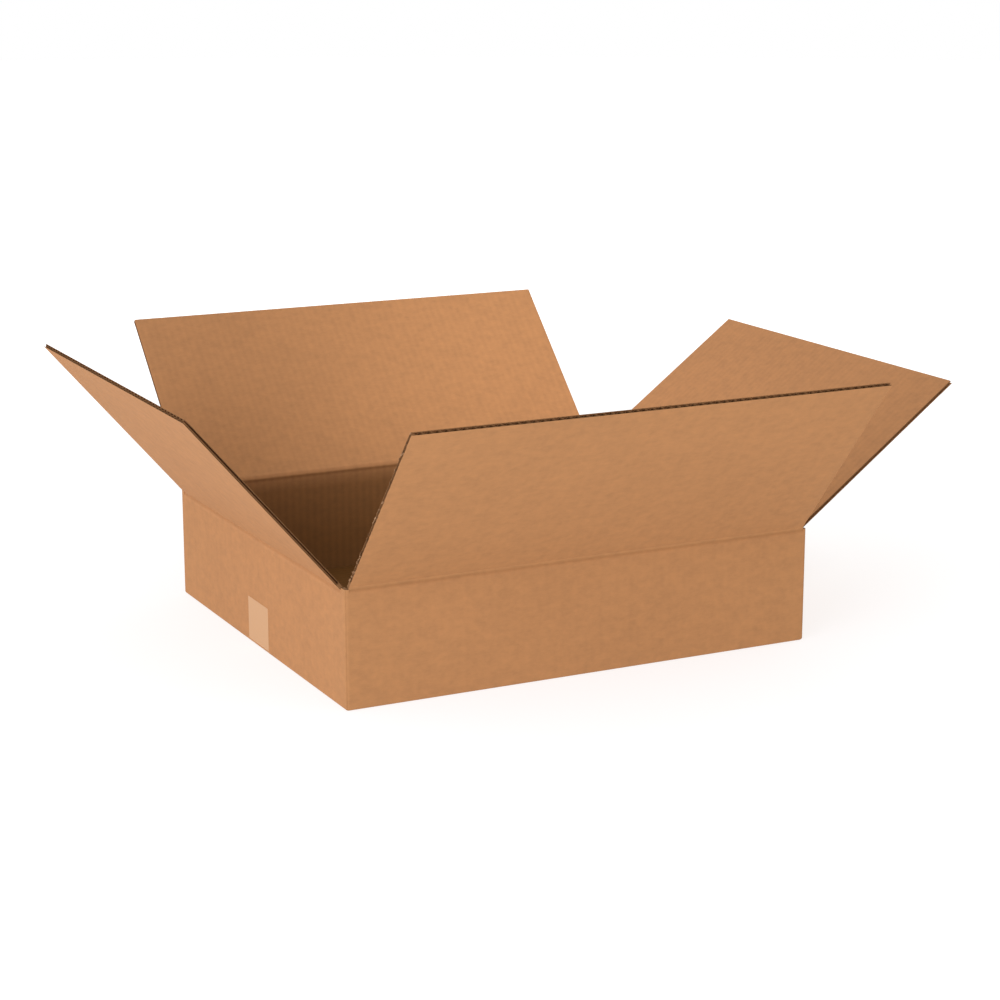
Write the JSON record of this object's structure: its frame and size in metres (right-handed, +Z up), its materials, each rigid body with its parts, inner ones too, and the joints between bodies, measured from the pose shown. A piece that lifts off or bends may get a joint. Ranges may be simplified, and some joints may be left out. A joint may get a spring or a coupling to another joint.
{
  "type": "open corrugated carton",
  "caption": "Shallow rectangular corrugated carton standing open, with scored top flaps folded outward and bottom flaps closed by tape.",
  "frame": {"origin": "centre of the carton's underside, on the surface that it stands on", "axes": "+X along the carton's length to the right, +Y from the front panel to the back panel, +Z up through the open top"},
  "size_m": [0.7671, 0.6887, 0.2687],
  "materials": {
    "kraft_board": "plain brown kraft liner, matte",
    "carton_tape": "light tan film tape, low gloss"
  },
  "bodies": {
    "carton": {"carton_body": "kraft_board", "seam_tape": "carton_tape"},
    "front_flap": {"front_flap": "kraft_board"},
    "back_flap": {"back_flap": "kraft_board"},
    "left_flap": {"left_flap": "kraft_board"},
    "right_flap": {"right_flap": "kraft_board"}
  },
  "joints": [
    {"name": "front_flap_fold", "type": "hinge", "parent": "carton", "child": "front_flap", "pos_m": [0, -0.2052, 0.1103], "axis": [1, 0, 0], "range_deg": [-129.7, 75.3]},
    {"name": "back_flap_fold", "type": "hinge", "parent": "carton", "child": "back_flap", "pos_m": [0, 0.2052, 0.1103], "axis": [-1, 0, 0], "range_deg": [-135.2, 69.8]},
    {"name": "left_flap_fold", "type": "hinge", "parent": "carton", "child": "left_flap", "pos_m": [-0.2306, 0, 0.106], "axis": [0, -1, 0], "range_deg": [-130.7, 74.3]},
    {"name": "right_flap_fold", "type": "hinge", "parent": "carton", "child": "right_flap", "pos_m": [0.2306, 0, 0.106], "axis": [0, 1, 0], "range_deg": [-143.3, 61.7]}
  ]
}
